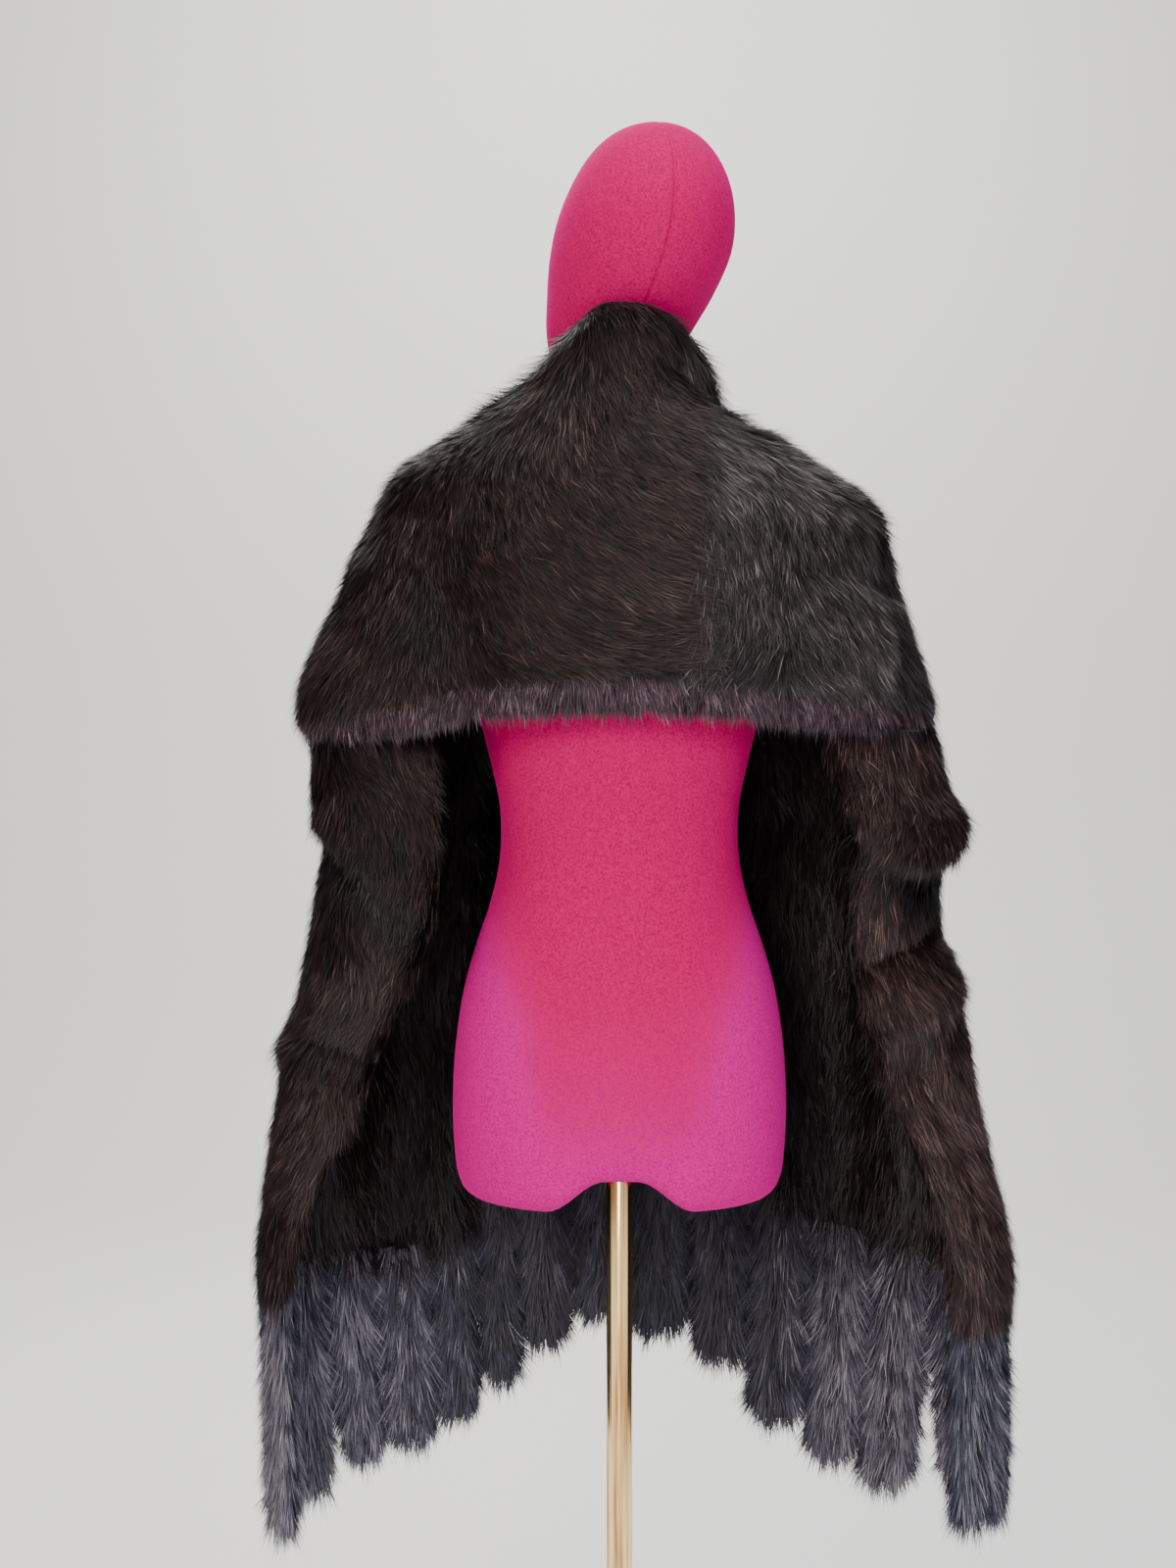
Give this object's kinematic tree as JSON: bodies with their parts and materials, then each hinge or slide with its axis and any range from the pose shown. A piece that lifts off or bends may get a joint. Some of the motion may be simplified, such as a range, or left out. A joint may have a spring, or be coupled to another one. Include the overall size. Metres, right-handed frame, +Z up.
{
  "type": "faux fur cape on a dress form",
  "caption": "Wide dark faux fur cape with a raised nape edge, turned-back sides and a fringe of fur tails, worn by a limbless velvet dress form on a pole stand with a round base.",
  "frame": {"origin": "centre of the underside of the stand's base, on the floor under the pole's axis", "axes": "+Z up the pole, -Y the way the form faces, +X towards the wearer's left, so the cape's back faces +Y"},
  "size_m": [0.7431, 0.3609, 1.7507],
  "materials": {
    "faux_fur": "long dark pile, brown on one side of the back and greyer on the other",
    "fur_tails": "long pile, blue-black with grey tips",
    "velvet": "magenta velvet with a paler sheen at grazing angles",
    "gold_plate": "polished gold-coloured plate"
  },
  "bodies": {
    "root": {"back_left": "faux_fur", "back_right": "faux_fur", "hem_band_left": "faux_fur", "hem_band_right": "faux_fur", "front_left": "faux_fur", "front_right": "faux_fur", "side_left": "faux_fur", "side_right": "faux_fur", "fringe_left": "fur_tails", "fringe_right": "fur_tails", "form_torso": "velvet", "form_head": "velvet", "stand_pole": "gold_plate", "stand_base": "gold_plate"}
  },
  "joints": []
}
